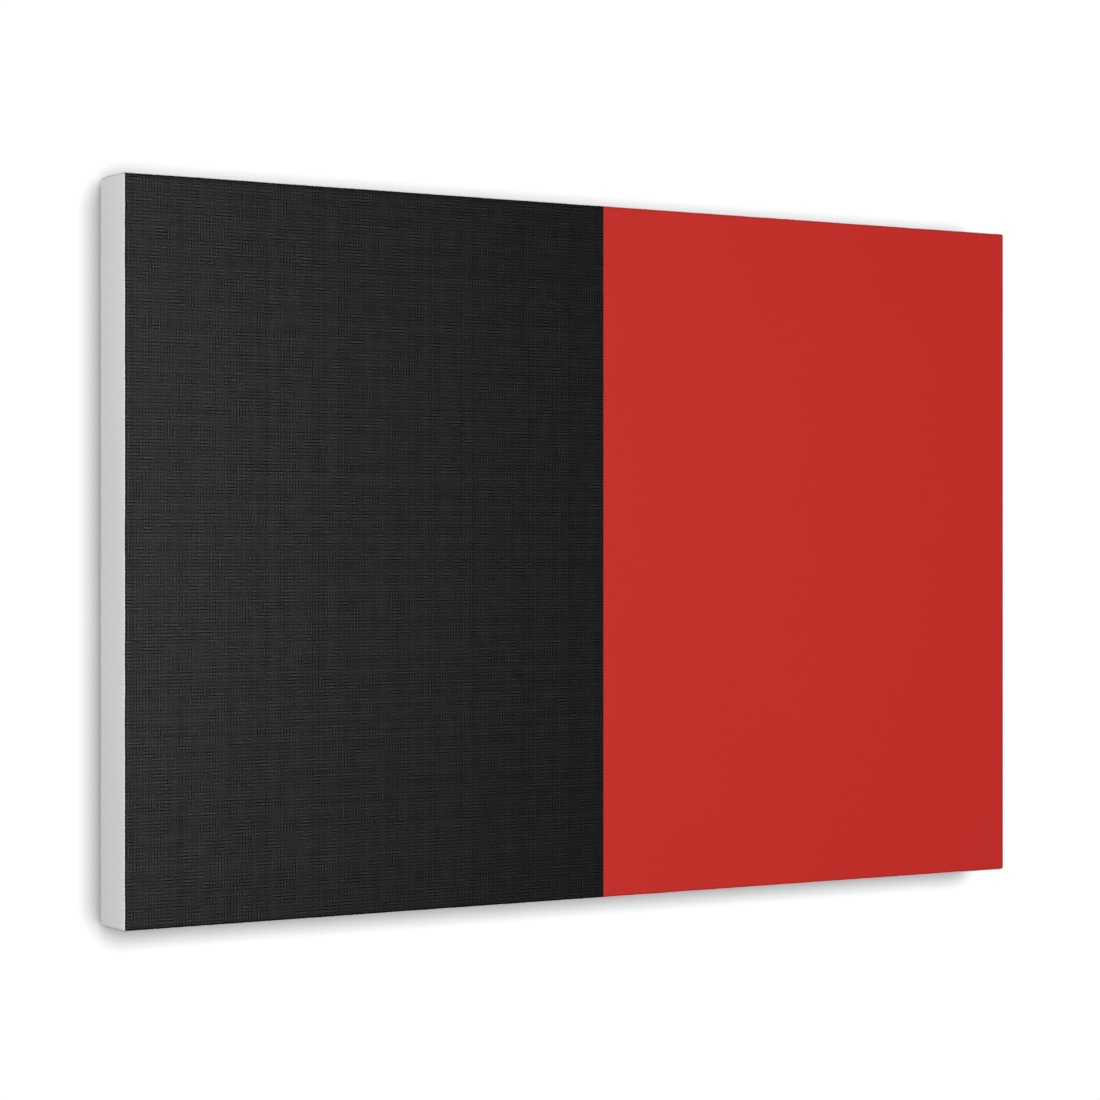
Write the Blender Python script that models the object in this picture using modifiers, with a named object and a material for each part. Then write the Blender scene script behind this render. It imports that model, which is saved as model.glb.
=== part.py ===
"""Gallery-wrapped stretched canvas, 24 x 16 in, on 1.25 in deep stretcher bars.

The canvas stands upright. X runs along its width, +Y points to the wall behind it and +Z is up.
The origin is the middle of the bottom edge, halfway through the depth.
"""

import math
import random

import bmesh
import bpy
from mathutils import Matrix, Vector

INCH = 0.0254
MM = 0.001

# Overall size, over the cloth
WIDTH = 24 * INCH
HEIGHT = 16 * INCH
DEPTH = 1.25 * INCH

GAP = 0.3 * MM  # between pieces that touch on the real object
CLOTH = 0.5 * MM
CLOTH_RADIUS = 1.3 * MM  # round the outer edges of the wrap
FLAP = 22 * MM  # cloth turned over on to the back of the bars

# Stretcher bars
BAR_WIDTH = 38 * MM
BEAD_WIDTH = 6 * MM  # only this rim of the front touches the cloth
BEAD_RADIUS = 2 * MM
BEAD_STEP = 2 * MM
FRONT_SLOPE = 4 * MM  # how far the front falls back by the inner edge
CHAMFER = 1.2 * MM
TONGUE = 5 * MM
ACROSS_LAYER = 11 * MM  # middle of the top and bottom bars' tongues, from the wood's front
UPRIGHT_LAYER = 19.5 * MM  # middle of the side bars' tongues

# Corner keys and the slots that take them
KEY_LENGTH = 38 * MM
KEY_HEAD = 15 * MM
KEY_TIP = 2 * MM
KEY_CORNER = 1.2 * MM
KEY_SLOT_HEIGHT = 7 * MM
KEY_SLOT_DEPTH = 24 * MM

# Staples
STAPLE_CROWN = 10 * MM
STAPLE_LEG = 6 * MM
STAPLE_THICK = 0.5 * MM
STAPLE_WIRE = 1.25 * MM
STAPLE_INSET = 13 * MM  # from the outer face of the bar
STAPLE_PITCH = 58 * MM
CORNER_STAPLE_INSET = 15 * MM
STAPLE_TURN = math.radians(5)  # hand-held stapler
STAPLES_ACROSS = 10
STAPLES_UPRIGHT = 6

# D-ring hangers
HANGER_DROP = HEIGHT / 4  # hinge axis below the top edge
HANGER_INSET = 30 * MM  # middle of the strap, from the outer face of the bar
STRAP_SHEET = 0.9 * MM
STRAP_WIDTH = 11 * MM
STRAP_LENGTH = 18.5 * MM
RING_WIRE = 1.1 * MM
RING_RADIUS = 8 * MM
RING_RISE = 9 * MM  # hinge axis to the centre of the ring's bow
RING_CORNER = 1.6 * MM
BARREL_BORE = RING_WIRE + GAP
BARREL_RADIUS = BARREL_BORE + STRAP_SHEET
SCREW_DROP = 11.5 * MM  # below the hinge axis
SCREW_HEAD = 3.2 * MM
SCREW_HEAD_HEIGHT = 2.2 * MM
SCREW_SHANK = 1.5 * MM
SCREW_LENGTH = 12 * MM

# Picture wire
WIRE = 0.6 * MM
WIRE_RISE = 20 * MM  # arch of the slack span
WIRE_PULL = math.radians(8)  # slope of the span where it leaves a ring
EYE_LENGTH = 8 * MM
TAIL_TURNS = 6
TAIL_PITCH = 1.5 * MM
LOOP_RADIUS = RING_WIRE + WIRE + 0.15 * MM
TAIL_RADIUS = 2 * WIRE + 0.15 * MM

# Wall bumpers
BUMPER_RADIUS = 5 * MM
BUMPER_HEIGHT = 4.6 * MM
BUMPER_FLAT = 2.5 * MM
BUMPER_INSET = 30 * MM  # from the outer face of the bottom bar
BUMPER_SHIFT = 52 * MM  # from the outer face of the side bar, clear of the mitre

# Planes and spans worked out from the sizes above
SKIN = CLOTH + GAP
WOOD_FRONT = -DEPTH / 2 + SKIN
WOOD_BACK = DEPTH / 2 - SKIN
WOOD_DEPTH = WOOD_BACK - WOOD_FRONT
ACROSS_SPAN = WIDTH - 2 * SKIN
UPRIGHT_SPAN = HEIGHT - 2 * SKIN
HINGE_Y = WOOD_BACK + GAP + BARREL_RADIUS
HINGE_Z = HEIGHT - HANGER_DROP
HANGER_X = WIDTH / 2 - SKIN - HANGER_INSET
OVERSHOOT = 2 * MM  # how far a cutter passes through what it cuts

COLOURS = {  # base colour, roughness, metallic
    "cotton_canvas": ((0.86, 0.86, 0.85), 0.85, 0.0),
    "pine": ((0.72, 0.52, 0.31), 0.6, 0.0),
    "beech_key": ((0.62, 0.42, 0.24), 0.55, 0.0),
    "galvanised_wire": ((0.62, 0.62, 0.6), 0.4, 1.0),
    "nickel_plate": ((0.75, 0.73, 0.69), 0.25, 1.0),
    "bumper_rubber": ((0.05, 0.05, 0.05), 0.7, 0.0),
}


def new_collection(name):
    collection = bpy.data.collections.new(name)
    bpy.context.scene.collection.children.link(collection)
    return collection


def make_materials():
    made = {}
    for name, (colour, roughness, metallic) in COLOURS.items():
        material = bpy.data.materials.new(name)
        material.use_nodes = True
        shader = material.node_tree.nodes["Principled BSDF"]
        shader.inputs["Base Color"].default_value = (*colour, 1)
        shader.inputs["Roughness"].default_value = roughness
        shader.inputs["Metallic"].default_value = metallic
        made[name] = material
    return made


def clear_scene():
    for obj in list(bpy.data.objects):
        bpy.data.objects.remove(obj)


clear_scene()
PARTS = new_collection("Stretched canvas")
CUTTERS = new_collection("Cutters")
MATERIALS = make_materials()


# ---- modelling helpers ----


def add_part(name, mesh, material, matrix=Matrix()):
    """Link a mesh as one sub-part of the canvas."""
    if not mesh.materials:
        mesh.materials.append(MATERIALS[material])
    part = bpy.data.objects.new(name, mesh)
    part.matrix_world = matrix
    PARTS.objects.link(part)
    return part


def add_cutter(name, mesh, matrix=Matrix()):
    cutter = bpy.data.objects.new(name, mesh)
    cutter.matrix_world = matrix
    cutter.hide_render = True
    cutter.display_type = "WIRE"
    CUTTERS.objects.link(cutter)
    return cutter


def combine(part, cutter, operation="DIFFERENCE"):
    boolean = part.modifiers.new(cutter.name, "BOOLEAN")
    boolean.operation = operation
    boolean.solver = "EXACT"
    boolean.object = cutter


def round_edges(part, width, segments=2):
    bevel = part.modifiers.new("rounded edges", "BEVEL")
    bevel.width = width
    bevel.segments = segments
    bevel.limit_method = "ANGLE"
    bevel.angle_limit = math.radians(40)


def smooth(mesh, degrees=35):
    mesh.shade_smooth()
    mesh.set_sharp_from_angle(angle=math.radians(degrees))


def box_matrix(low, high):
    """The matrix that turns a unit cube into the box between two corners."""
    low, high = Vector(low), Vector(high)
    size = high - low
    return Matrix.Translation((low + high) / 2) @ Matrix.Diagonal((*size, 1))


def boxes_mesh(name, matrices):
    """One mesh that holds a unit cube for each matrix."""
    bm = bmesh.new()
    for matrix in matrices:
        bmesh.ops.create_cube(bm, size=1, matrix=matrix)
    mesh = bpy.data.meshes.new(name)
    bm.to_mesh(mesh)
    bm.free()
    return mesh


def cylinder_mesh(name, radius, length, segments=24):
    """A closed cylinder along Z, centred on the origin."""
    bm = bmesh.new()
    bmesh.ops.create_cone(
        bm, cap_ends=True, segments=segments, radius1=radius, radius2=radius, depth=length
    )
    mesh = bpy.data.meshes.new(name)
    bm.to_mesh(mesh)
    bm.free()
    return mesh


def arc(centre, radius, start, end, steps):
    """Points along an arc in a plane, with its angles in degrees."""
    angles = [math.radians(start + (end - start) * i / steps) for i in range(steps + 1)]
    return [(centre[0] + radius * math.cos(a), centre[1] + radius * math.sin(a)) for a in angles]


def add_poly_spline(curve, points, cyclic):
    spline = curve.splines.new("POLY")
    spline.points.add(len(points) - 1)
    for target, point in zip(spline.points, points):
        target.co = (*point, *(0,) * (3 - len(point)), 1)
    spline.use_cyclic_u = cyclic


def mesh_from_curve(curve):
    """The curve's evaluated mesh with its caps welded on."""
    holder = bpy.data.objects.new(curve.name, curve)
    bpy.context.scene.collection.objects.link(holder)
    graph = bpy.context.evaluated_depsgraph_get()
    mesh = bpy.data.meshes.new_from_object(holder.evaluated_get(graph))
    bpy.data.objects.remove(holder)
    bm = bmesh.new()
    bm.from_mesh(mesh)
    bmesh.ops.remove_doubles(bm, verts=bm.verts, dist=0.001 * MM)
    bm.to_mesh(mesh)
    bm.free()
    mesh.shade_flat()
    return mesh


def outline_mesh(name, points, thickness):
    """A flat outline in the XY plane, given a thickness centred on that plane."""
    curve = bpy.data.curves.new(name, "CURVE")
    curve.dimensions = "2D"
    curve.fill_mode = "BOTH"
    curve.extrude = thickness / 2
    add_poly_spline(curve, points, cyclic=True)
    return mesh_from_curve(curve)


def wire_mesh(name, points, radius, cyclic=False, resolution=2):
    """A round wire that follows a path."""
    curve = bpy.data.curves.new(name, "CURVE")
    curve.dimensions = "3D"
    curve.bevel_depth = radius
    curve.bevel_resolution = resolution
    curve.use_fill_caps = not cyclic
    add_poly_spline(curve, points, cyclic)
    mesh = mesh_from_curve(curve)
    smooth(mesh, 60)
    return mesh


def turned_part(name, profile, material, matrix, steps=24):
    """Turn a profile of (radius, height) points, listed top to bottom, about Z."""
    mesh = bpy.data.meshes.new(name)
    edges = [(i, i + 1) for i in range(len(profile) - 1)]
    mesh.from_pydata([(radius, 0, height) for radius, height in profile], edges, [])
    part = add_part(name, mesh, material, matrix)
    screw = part.modifiers.new("turn", "SCREW")
    screw.steps = screw.render_steps = steps
    screw.use_merge_vertices = True
    screw.merge_threshold = 0.01 * MM
    screw.use_smooth_shade = True
    return part


# A solid built with its thickness along Z, stood up so that Z points to the back and Y points up
UPRIGHT = Matrix(((-1, 0, 0, 0), (0, 0, 1, 0), (0, 1, 0, 0), (0, 0, 0, 1)))
# A section drawn as (depth, height), swept along X
SWEPT = Matrix(((0, 0, 1, 0), (1, 0, 0, 0), (0, 1, 0, 0), (0, 0, 0, 1)))


# ---- where the four bars lie ----
# In a bar's own frame X runs along it, +Y points to the back, and its outer face is the plane Z = 0.

BARS = {
    "top": (Vector((0, 0, HEIGHT - SKIN)), 0, ACROSS_SPAN),
    "bottom": (Vector((0, 0, SKIN)), 180, ACROSS_SPAN),
    "left": (Vector((SKIN - WIDTH / 2, 0, HEIGHT / 2)), -90, UPRIGHT_SPAN),
    "right": (Vector((WIDTH / 2 - SKIN, 0, HEIGHT / 2)), 90, UPRIGHT_SPAN),
}


def bar_frame(side):
    place, degrees, _ = BARS[side]
    return Matrix.Translation(place) @ Matrix.Rotation(math.radians(degrees), 4, "Y")


def is_across(side):
    return side in ("top", "bottom")


def layer_y(side):
    """Depth of the middle of this bar's tongues."""
    return WOOD_FRONT + (ACROSS_LAYER if is_across(side) else UPRIGHT_LAYER)


def slot_y(side):
    """Depth of the middle of the slots that take the neighbouring bars' tongues."""
    return WOOD_FRONT + (UPRIGHT_LAYER if is_across(side) else ACROSS_LAYER)


# ---- stretcher bars ----


def bar_section():
    """Cross-section of a bar as (y, z): a rounded bead in front, then a face that falls away."""
    inner = -BAR_WIDTH
    bead = arc((WOOD_FRONT + BEAD_RADIUS, -BEAD_RADIUS), BEAD_RADIUS, 90, 180, 4)
    return [
        (WOOD_BACK - CHAMFER / 2, 0),
        *bead,
        (WOOD_FRONT, -BEAD_WIDTH),
        (WOOD_FRONT + BEAD_STEP, -BEAD_WIDTH - BEAD_STEP),
        (WOOD_FRONT + FRONT_SLOPE, inner + CHAMFER),
        (WOOD_FRONT + FRONT_SLOPE + CHAMFER, inner),
        (WOOD_BACK - CHAMFER, inner),
        (WOOD_BACK, inner + CHAMFER),
        (WOOD_BACK, -CHAMFER / 2),
    ]


def mitre_cutter(side, span):
    """Blocks that cut both ends at 45 degrees, in front of the tongue and behind it."""
    tongue_front = layer_y(side) - TONGUE / 2
    tongue_back = layer_y(side) + TONGUE / 2
    layers = ((WOOD_FRONT - OVERSHOOT, tongue_front), (tongue_back, WOOD_BACK + OVERSHOOT))
    reach = 2 * BAR_WIDTH
    blocks = []
    for end in (-1, 1):
        turn = Matrix.Rotation(math.radians(45 * end), 4, "Y")
        corner = Matrix.Translation((end * span / 2, 0, 0)) @ turn
        for front, back in layers:
            near, far = sorted((-end * GAP / 2, end * reach))
            blocks.append(corner @ box_matrix((near, front, -reach), (far, back, reach)))
    return add_cutter(f"mitre_{side}", boxes_mesh(f"mitre_{side}", blocks), bar_frame(side))


def slot_cutter(side, span):
    """Blocks that open each end for the neighbour's tongue."""
    front = slot_y(side) - TONGUE / 2 - GAP
    back = slot_y(side) + TONGUE / 2 + GAP
    blocks = []
    for end in (-1, 1):
        near, far = sorted((end * (span / 2 - BAR_WIDTH - GAP), end * (span / 2 + OVERSHOOT)))
        blocks.append(
            box_matrix((near, front, -BAR_WIDTH - OVERSHOOT), (far, back, OVERSHOOT))
        )
    return add_cutter(f"slot_{side}", boxes_mesh(f"slot_{side}", blocks), bar_frame(side))


def key_slot_cutter(side, span):
    """Blocks that widen each slot at the inner face, for the neighbour's key."""
    front = slot_y(side) - TONGUE / 2 - GAP
    back = slot_y(side) + TONGUE / 2 + GAP
    low, high = -BAR_WIDTH - OVERSHOOT, -BAR_WIDTH + KEY_SLOT_DEPTH
    blocks = []
    for end in (-1, 1):
        shoulder = span / 2 - BAR_WIDTH
        near, far = sorted((end * (shoulder - KEY_SLOT_HEIGHT), end * (shoulder + OVERSHOOT)))
        blocks.append(box_matrix((near, front, low), (far, back, high)))
    name = f"key_slot_{side}"
    return add_cutter(name, boxes_mesh(name, blocks), bar_frame(side))


def make_bar(side, leg_holes, pilot_holes):
    span = BARS[side][2]
    mesh = outline_mesh(f"stretcher_{side}", bar_section(), span)
    mesh.transform(SWEPT)
    bar = add_part(f"stretcher_{side}", mesh, "pine", bar_frame(side))
    for cutter in (mitre_cutter, slot_cutter, key_slot_cutter):
        combine(bar, cutter(side, span))
    combine(bar, leg_holes)
    if not is_across(side):
        combine(bar, pilot_holes)


# ---- corner keys ----


def key_mesh():
    """A wedge whose straight edge is Z = 0, with its tip at X = 0 and its head at -X."""
    slope = [(-KEY_LENGTH + KEY_CORNER, -KEY_HEAD), (0, -KEY_TIP)]
    head = [(-KEY_LENGTH, -KEY_CORNER), (-KEY_LENGTH, -KEY_HEAD + KEY_CORNER)]
    straight = [(0, 0), (-KEY_LENGTH + KEY_CORNER, 0)]
    mesh = outline_mesh("corner_key", [*straight, *head, *slope], TONGUE)
    mesh.transform(Matrix.Rotation(math.radians(90), 4, "X"))
    return mesh


def key_insertion():
    """How far the wedge enters its slot before it fills the mouth."""
    mouth = KEY_SLOT_HEIGHT - 2 * GAP
    return (mouth - KEY_TIP) * KEY_LENGTH / (KEY_HEAD - KEY_TIP)


def make_keys():
    """Two keys a corner. Each lies along one bar's inner face, with its tip in the other bar."""
    mesh = key_mesh()
    ends = {
        ("top", -1): "top_left_across",
        ("top", 1): "top_right_across",
        ("bottom", -1): "bottom_right_across",
        ("bottom", 1): "bottom_left_across",
        ("left", -1): "bottom_left_upright",
        ("left", 1): "top_left_upright",
        ("right", -1): "top_right_upright",
        ("right", 1): "bottom_right_upright",
    }
    for (side, end), label in ends.items():
        tip_x = BARS[side][2] / 2 - BAR_WIDTH + key_insertion()
        place = Matrix.Translation((end * tip_x, layer_y(side), -BAR_WIDTH - GAP))
        turn = Matrix.Rotation(math.radians(0 if end == 1 else 180), 4, "Z")
        add_part(f"key_{label}", mesh, "beech_key", bar_frame(side) @ place @ turn)


# ---- staples ----


def staple_mesh():
    """A flat-wire staple: its crown's underside is Y = 0 and its pointed legs run along -Y."""
    half = STAPLE_CROWN / 2
    inner = half - STAPLE_THICK
    shoulder = arc((half - STAPLE_THICK, 0), STAPLE_THICK, 0, 90, 3)
    right = [(inner, 0), (inner, -STAPLE_LEG + STAPLE_THICK), (half, -STAPLE_LEG), *shoulder]
    left = [(-x, y) for x, y in reversed(right)]
    mesh = outline_mesh("staple", [*right, *left], STAPLE_WIRE)
    smooth(mesh)
    return mesh


def staple_places():
    """Name and matrix of every staple, in rows along the bars and one across each corner."""
    jitter = random.Random(5)
    places = []
    for side in BARS:
        count = STAPLES_ACROSS if is_across(side) else STAPLES_UPRIGHT
        for i in range(count):
            x = (i - (count - 1) / 2) * STAPLE_PITCH
            turn = Matrix.Rotation(jitter.uniform(-STAPLE_TURN, STAPLE_TURN), 4, "Y")
            place = Matrix.Translation((x, DEPTH / 2 + GAP, -STAPLE_INSET))
            places.append((f"staple_{side}_{i + 1:02d}", bar_frame(side) @ place @ turn))
    corner_x = WIDTH / 2 - SKIN - CORNER_STAPLE_INSET
    corner_z = HEIGHT / 2 - SKIN - CORNER_STAPLE_INSET
    for height_name, up in (("top", 1), ("bottom", -1)):
        for side_name, along in (("left", -1), ("right", 1)):
            turn = Matrix.Rotation(math.radians(45 * up * along), 4, "Y")
            spot = (corner_x * along, DEPTH / 2 + GAP, HEIGHT / 2 + corner_z * up)
            name = f"staple_corner_{height_name}_{side_name}"
            places.append((name, Matrix.Translation(spot) @ turn))
    return places


def leg_hole_cutter(places):
    """A box round every leg, from behind the cloth to past the leg's point."""
    across = STAPLE_WIRE / 2 + GAP
    blocks = []
    for _, matrix in places:
        for leg in (-1, 1):
            near, far = sorted((leg * (STAPLE_CROWN / 2 + GAP),
                                leg * (STAPLE_CROWN / 2 - STAPLE_THICK - GAP)))
            low = (near, -STAPLE_LEG - GAP, -across)
            blocks.append(matrix @ box_matrix(low, (far, OVERSHOOT, across)))
    return add_cutter("leg_holes", boxes_mesh("leg_holes", blocks))


def make_staples(places):
    mesh = staple_mesh()
    for name, matrix in places:
        add_part(name, mesh, "galvanised_wire", matrix)


# ---- the cloth ----


def make_canvas(leg_holes):
    """Cloth over the front and the four sides, turned over on to the back."""
    outer = box_matrix((-WIDTH / 2, -DEPTH / 2, 0), (WIDTH / 2, DEPTH / 2, HEIGHT))
    inner = box_matrix(
        (CLOTH - WIDTH / 2, CLOTH - DEPTH / 2, CLOTH),
        (WIDTH / 2 - CLOTH, DEPTH / 2 - CLOTH, HEIGHT - CLOTH),
    )
    opening = box_matrix(
        (FLAP - WIDTH / 2, 0, FLAP), (WIDTH / 2 - FLAP, DEPTH / 2 + OVERSHOOT, HEIGHT - FLAP)
    )
    canvas = add_part("canvas", boxes_mesh("canvas", [outer]), "cotton_canvas")
    round_edges(canvas, CLOTH_RADIUS)
    hollow = add_cutter("canvas_hollow", boxes_mesh("canvas_hollow", [inner]))
    round_edges(hollow, CLOTH_RADIUS - CLOTH)
    combine(canvas, hollow)
    combine(canvas, add_cutter("canvas_opening", boxes_mesh("canvas_opening", [opening])))
    combine(canvas, leg_holes)


# ---- D-ring hangers ----
# A hanger's own frame has its origin on the hinge axis, which is X. +Y points away from the bar.


def hanger_frame(along):
    return Matrix.Translation((along * HANGER_X, HINGE_Y, HINGE_Z))


def strap_section():
    """Side view as (y, z): a doubled strip that opens into a barrel round the ring."""
    foot = -BARREL_RADIUS
    top = foot + 2 * STRAP_SHEET
    barrel = arc((0, 0), BARREL_RADIUS, 180, -30, 14)
    return [(foot, -STRAP_LENGTH), *barrel, (top, -2 * BARREL_RADIUS), (top, -STRAP_LENGTH)]


def strap_plan():
    """Front view as (x, z): straight sides and a round tail."""
    half = STRAP_WIDTH / 2
    tail = arc((0, half - STRAP_LENGTH), half, 180, 360, 12)
    return [*tail, (half, 2 * BARREL_RADIUS), (-half, 2 * BARREL_RADIUS)]


def lying_cylinder(name, radius, length, segments=24):
    """A cutter along X, in the frame of the object that it cuts."""
    mesh = cylinder_mesh(name, radius, length, segments)
    mesh.transform(Matrix.Rotation(math.radians(90), 4, "Y"))
    return mesh


def make_strap(name, along, pilot_radius):
    mesh = outline_mesh(name, strap_section(), STRAP_WIDTH)
    mesh.transform(SWEPT)
    frame = hanger_frame(along)
    smooth(mesh)
    strap = add_part(name, mesh, "nickel_plate", frame)
    plan = outline_mesh(f"{name}_plan", strap_plan(), 4 * BARREL_RADIUS)
    plan.transform(Matrix.Rotation(math.radians(90), 4, "X"))
    combine(strap, add_cutter(f"{name}_plan", plan, frame), "INTERSECT")
    bore = lying_cylinder(f"{name}_bore", BARREL_BORE, 2 * STRAP_WIDTH)
    combine(strap, add_cutter(f"{name}_bore", bore, frame))
    hole = cylinder_mesh(f"{name}_hole", pilot_radius, 4 * BARREL_RADIUS)
    hole.transform(Matrix.Rotation(math.radians(90), 4, "X"))
    hole_frame = frame @ Matrix.Translation((0, 0, -SCREW_DROP))
    combine(strap, add_cutter(f"{name}_hole", hole, hole_frame))


def ring_path():
    """The D shape: a straight hinge bar, two tight corners and a round bow."""
    corner_x = RING_RADIUS - RING_CORNER
    right = [
        *arc((corner_x, RING_CORNER), RING_CORNER, -90, 0, 3),
        *arc((0, RING_RISE), RING_RADIUS, 0, 180, 16),
    ]
    left = arc((-corner_x, RING_CORNER), RING_CORNER, 180, 270, 3)
    return [(x, 0, z) for x, z in [*right, *left]]


def make_screw(name, along):
    """A pan-head wood screw with a cross recess, its head on the strap."""
    profile = [
        (0, SCREW_HEAD_HEIGHT),
        (SCREW_HEAD * 0.5, SCREW_HEAD_HEIGHT * 0.95),
        (SCREW_HEAD * 0.85, SCREW_HEAD_HEIGHT * 0.7),
        (SCREW_HEAD, SCREW_HEAD_HEIGHT * 0.3),
        (SCREW_HEAD, 0),
        (SCREW_SHANK, 0),
        (SCREW_SHANK, 2 * SCREW_SHANK - SCREW_LENGTH),
        (0, -SCREW_LENGTH),
    ]
    head_y = -BARREL_RADIUS + 2 * STRAP_SHEET + GAP
    seat = hanger_frame(along) @ Matrix.Translation((0, head_y, -SCREW_DROP))
    frame = seat @ Matrix.Rotation(math.radians(-90), 4, "X")
    screw = turned_part(name, profile, "nickel_plate", frame)
    arm, slot = SCREW_HEAD * 0.6, SCREW_HEAD * 0.11
    low, high = SCREW_HEAD_HEIGHT * 0.35, SCREW_HEAD_HEIGHT + OVERSHOOT
    for label, x, y in (("recess_a", arm, slot), ("recess_b", slot, arm)):
        block = boxes_mesh(f"{name}_{label}", [box_matrix((-x, -y, low), (x, y, high))])
        combine(screw, add_cutter(f"{name}_{label}", block, frame))


def pilot_hole_cutter():
    """A hole for each hanger's screw, in the side bars."""
    depth = SCREW_LENGTH + OVERSHOOT
    bm = bmesh.new()
    for along in (-1, 1):
        middle = (along * HANGER_X, WOOD_BACK + OVERSHOOT - depth / 2, HINGE_Z - SCREW_DROP)
        matrix = Matrix.Translation(middle) @ Matrix.Rotation(math.radians(90), 4, "X")
        radius = SCREW_SHANK + GAP
        bmesh.ops.create_cone(
            bm, cap_ends=True, segments=16, radius1=radius, radius2=radius,
            depth=depth, matrix=matrix,
        )
    mesh = bpy.data.meshes.new("pilot_holes")
    bm.to_mesh(mesh)
    bm.free()
    return add_cutter("pilot_holes", mesh)


def make_hangers():
    for side, along in (("left", -1), ("right", 1)):
        make_strap(f"hanger_strap_{side}", along, SCREW_SHANK + GAP)
        make_screw(f"hanger_screw_{side}", along)
        ring = wire_mesh(f"d_ring_{side}", ring_path(), RING_WIRE, cyclic=True, resolution=4)
        add_part(f"d_ring_{side}", ring, "nickel_plate", hanger_frame(along))


# ---- picture wire ----


def ease(share):
    share = min(max(share, 0), 1)
    return share * share * (3 - 2 * share)


def wire_span():
    """The span's middle line in the hinge's plane, as a function of X: flat in the middle."""
    start_x = HANGER_X - RING_RADIUS * math.cos(WIRE_PULL)
    start_z = RING_RISE + RING_RADIUS * math.sin(WIRE_PULL)

    def height(x):
        share = abs(x) / start_x
        return start_z + WIRE_RISE * (1 - share * share)

    return start_x, height


def wire_end():
    """Half of the wire as (x, y, z) about the hinge axis, from mid-span to the tail's cut end."""
    start_x, height = wire_span()
    direction = (-1, 0, (height(start_x - EYE_LENGTH) - height(start_x)) / EYE_LENGTH)
    pull = Vector(direction).normalized()
    outward = Vector((0, 1, 0))
    sideways = pull.cross(outward)
    centre = Vector((start_x, 0, height(start_x)))

    def main_line(distance):
        """The span's middle line at a distance along the pull from the ring."""
        x = start_x + pull.x * distance
        return Vector((x, 0, height(x)))

    points = []
    eye_steps, span_steps = 5, 9
    tail_length = EYE_LENGTH + TAIL_TURNS * TAIL_PITCH
    for i in range(span_steps):
        share = i / span_steps
        points.append(main_line(start_x / -pull.x * (1 - share) + tail_length * share))
    points += [main_line(tail_length), main_line((tail_length + EYE_LENGTH) / 2)]
    for i in range(eye_steps):
        distance = EYE_LENGTH * (1 - i / eye_steps)
        lift = LOOP_RADIUS * ease(1 - distance / EYE_LENGTH)
        points.append(main_line(distance) + outward * lift)
    for y, along in arc((0, 0), LOOP_RADIUS, 0, -180, 8):
        points.append(centre + outward * y + pull * along)
    for i in range(1, eye_steps):
        share = i / eye_steps
        drop = LOOP_RADIUS + (TAIL_RADIUS - LOOP_RADIUS) * ease(share)
        points.append(main_line(EYE_LENGTH * share) - outward * drop)
    per_turn = 10
    for i in range(TAIL_TURNS * per_turn + 1):
        angle = 2 * math.pi * i / per_turn
        offset = sideways * math.sin(angle) - outward * math.cos(angle)
        distance = EYE_LENGTH + TAIL_PITCH * i / per_turn
        points.append(main_line(distance) + offset * TAIL_RADIUS)
    return points


def make_wire():
    """Picture wire looped through both rings, each tail wound back round the span."""
    right = wire_end()
    left = [Vector((-p.x, p.y, p.z)) for p in reversed(right[1:])]
    mesh = wire_mesh("hanging_wire", [*left, *right], WIRE)
    add_part("hanging_wire", mesh, "galvanised_wire", Matrix.Translation((0, HINGE_Y, HINGE_Z)))


# ---- wall bumpers ----


def make_bumpers():
    """Rubber domes on the bottom bar, which hold the canvas parallel to the wall."""
    rise = BUMPER_HEIGHT - 1 * MM
    curve = arc((0, 0), 1, 90, 0, 5)
    dome = [
        (BUMPER_FLAT + (BUMPER_RADIUS - BUMPER_FLAT) * x, 1 * MM + rise * y) for x, y in curve
    ]
    profile = [(0, BUMPER_HEIGHT), *dome, (BUMPER_RADIUS, 0), (0, 0)]
    for side, along in (("left", -1), ("right", 1)):
        x = along * (WIDTH / 2 - SKIN - BUMPER_SHIFT)
        seat = Matrix.Translation((x, WOOD_BACK + GAP, SKIN + BUMPER_INSET))
        frame = seat @ Matrix.Rotation(math.radians(-90), 4, "X")
        turned_part(f"bumper_{side}", profile, "bumper_rubber", frame)


def make_stretched_canvas():
    places = staple_places()
    leg_holes = leg_hole_cutter(places)
    pilot_holes = pilot_hole_cutter()
    for side in BARS:
        make_bar(side, leg_holes, pilot_holes)
    make_keys()
    make_canvas(leg_holes)
    make_staples(places)
    make_hangers()
    make_wire()
    make_bumpers()


make_stretched_canvas()
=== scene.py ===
"""Looks for the stretched canvas: cloth, wood, metal, wall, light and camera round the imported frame."""

import math
import bmesh
import bpy
import numpy as np
from mathutils import Matrix, Vector, noise


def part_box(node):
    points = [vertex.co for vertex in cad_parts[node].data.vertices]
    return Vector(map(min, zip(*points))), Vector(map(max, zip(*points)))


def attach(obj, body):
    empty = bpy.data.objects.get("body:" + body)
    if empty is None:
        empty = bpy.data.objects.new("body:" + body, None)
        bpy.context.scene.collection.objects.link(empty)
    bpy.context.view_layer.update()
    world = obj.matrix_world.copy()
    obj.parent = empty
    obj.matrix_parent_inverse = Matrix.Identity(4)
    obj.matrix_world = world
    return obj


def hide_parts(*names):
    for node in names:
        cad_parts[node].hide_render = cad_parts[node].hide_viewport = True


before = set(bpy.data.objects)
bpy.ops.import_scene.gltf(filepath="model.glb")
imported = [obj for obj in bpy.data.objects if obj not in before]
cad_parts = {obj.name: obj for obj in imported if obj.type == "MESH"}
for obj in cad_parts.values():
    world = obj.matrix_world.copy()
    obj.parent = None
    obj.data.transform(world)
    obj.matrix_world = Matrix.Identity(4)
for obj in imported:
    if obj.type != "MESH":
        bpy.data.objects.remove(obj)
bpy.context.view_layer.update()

MM = 0.001
RNG = np.random.default_rng(11)

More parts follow.
